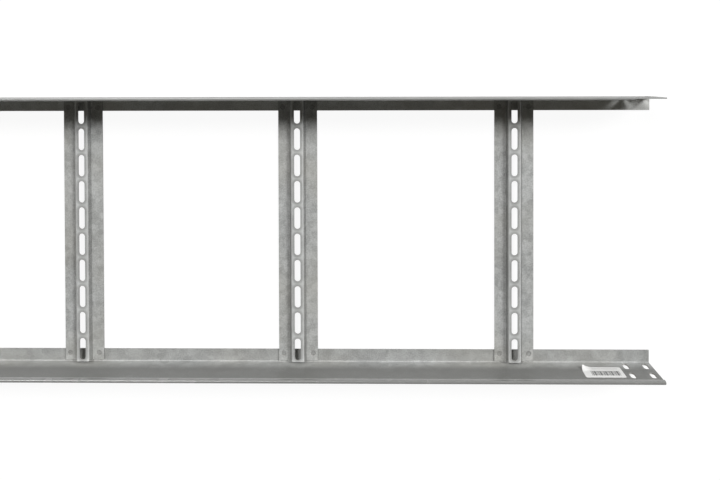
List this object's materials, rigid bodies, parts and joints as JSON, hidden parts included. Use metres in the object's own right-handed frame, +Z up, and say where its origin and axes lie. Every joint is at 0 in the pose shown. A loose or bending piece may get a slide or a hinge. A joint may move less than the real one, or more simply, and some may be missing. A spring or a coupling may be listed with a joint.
{
  "type": "cable ladder section",
  "caption": "Straight galvanised steel cable ladder length: beaded side rails joined by slotted hat-section rungs.",
  "frame": {"origin": "middle of the underside, on the floor that the bottom flanges rest on", "axes": "+X along the rails, +Y across them towards the left rail, +Z up out of the cable trough"},
  "size_m": [2, 0.3124, 0.06],
  "materials": {
    "galvanised_rail": "hot-dip galvanised sheet, dull mottled grey",
    "galvanised_rung": "hot-dip galvanised sheet, dull mottled grey"
  },
  "bodies": {
    "root": {"left_rail": "galvanised_rail", "right_rail": "galvanised_rail", "rung_01": "galvanised_rung", "rung_02": "galvanised_rung", "rung_03": "galvanised_rung", "rung_04": "galvanised_rung", "rung_05": "galvanised_rung", "rung_06": "galvanised_rung", "rung_07": "galvanised_rung", "rung_08": "galvanised_rung"}
  },
  "joints": []
}
